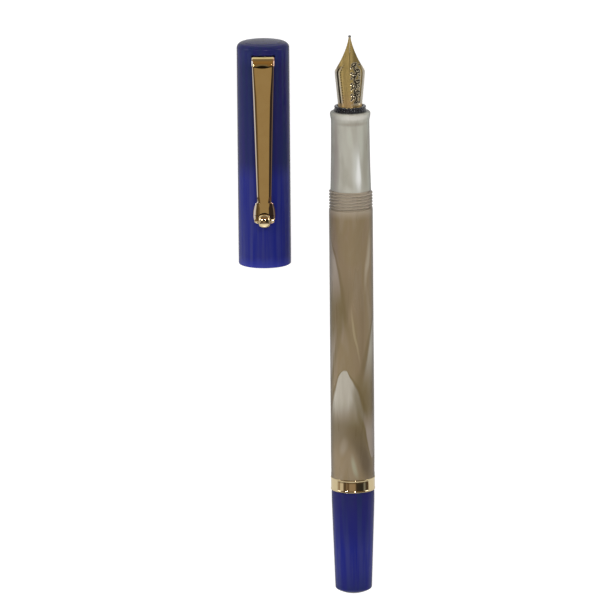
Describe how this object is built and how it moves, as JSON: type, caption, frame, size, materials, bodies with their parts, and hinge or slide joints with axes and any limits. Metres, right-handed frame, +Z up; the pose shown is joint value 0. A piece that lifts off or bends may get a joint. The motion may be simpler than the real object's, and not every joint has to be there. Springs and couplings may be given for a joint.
{
  "type": "fountain pen",
  "caption": "Slim piston-filling fountain pen with a gold nib, threaded barrel and tapered turning knob, lying beside its screw cap, which has a clip ending in a roller.",
  "frame": {"origin": "centre of the bounding box, on the surface that the pen and the cap lie on", "axes": "+Y along the pen towards the tip of the nib, +Z up from the surface, cap on the -X side with its clip up"},
  "size_m": [0.0324, 0.1372, 0.0164],
  "materials": {
    "barrel_resin": "polished pearlescent taupe resin",
    "section_resin": "polished pearlescent light grey resin",
    "blue_resin": "polished translucent royal blue resin",
    "dark_inner_plastic": "dark moulded plastic",
    "black_plastic": "satin black plastic",
    "white_plastic": "natural moulded plastic",
    "seal_rubber": "soft seal rubber",
    "gold_trim": "polished gold plate",
    "nib_gold": "engraved gold",
    "brass_works": "turned brass",
    "tipping_metal": "hard grey alloy"
  },
  "bodies": {
    "pen": {"barrel": "barrel_resin", "section": "section_resin", "section_seal": "seal_rubber", "nib": "nib_gold", "nib_tipping": "tipping_metal", "feed": "black_plastic", "nib_collar": "black_plastic", "trim_ring": "gold_trim", "piston_housing": "black_plastic", "housing_seal": "seal_rubber", "spindle_bush": "brass_works"},
    "knob": {"turning_knob": "blue_resin", "spindle": "brass_works"},
    "piston": {"piston_rod": "white_plastic", "piston_head": "white_plastic", "piston_seal_front": "seal_rubber", "piston_seal_rear": "seal_rubber"},
    "cap": {"cap_shell": "blue_resin", "inner_cap": "dark_inner_plastic", "clip_anchor": "gold_trim", "clip_screw": "brass_works"},
    "clip_arm": {"clip": "gold_trim", "roller_axle": "gold_trim"},
    "roller": {"clip_roller": "gold_trim"}
  },
  "joints": [
    {"name": "knob_turn", "type": "hinge", "parent": "pen", "child": "knob", "pos_m": [0.01081, -0.05582, 0.00537], "axis": [0, 1, 0], "range_deg": [0, 1800]},
    {"name": "piston_slide", "type": "slide", "parent": "pen", "child": "piston", "axis": [0, 1, 0], "range_m": [0, 0.028]},
    {"name": "cap_carry", "type": "slide", "parent": "pen", "child": "cap", "axis": [0.2241, 0.9745, -0.0101], "range_m": [0, 0.09235]},
    {"name": "clip_flex", "type": "hinge", "parent": "cap", "child": "clip_arm", "pos_m": [-0.00988, 0.06295, 0.013], "axis": [-1, 0, 0], "range_deg": [0, 4], "stiffness_Nm_per_rad": 1.2},
    {"name": "roller_spin", "type": "hinge", "parent": "clip_arm", "child": "roller", "pos_m": [-0.00988, 0.02527, 0.01457], "axis": [1, 0, 0], "continuous": true}
  ],
  "couplings": [
    {"joint": "knob_turn", "follows": "piston_slide", "rad_per_m": 1122}
  ]
}
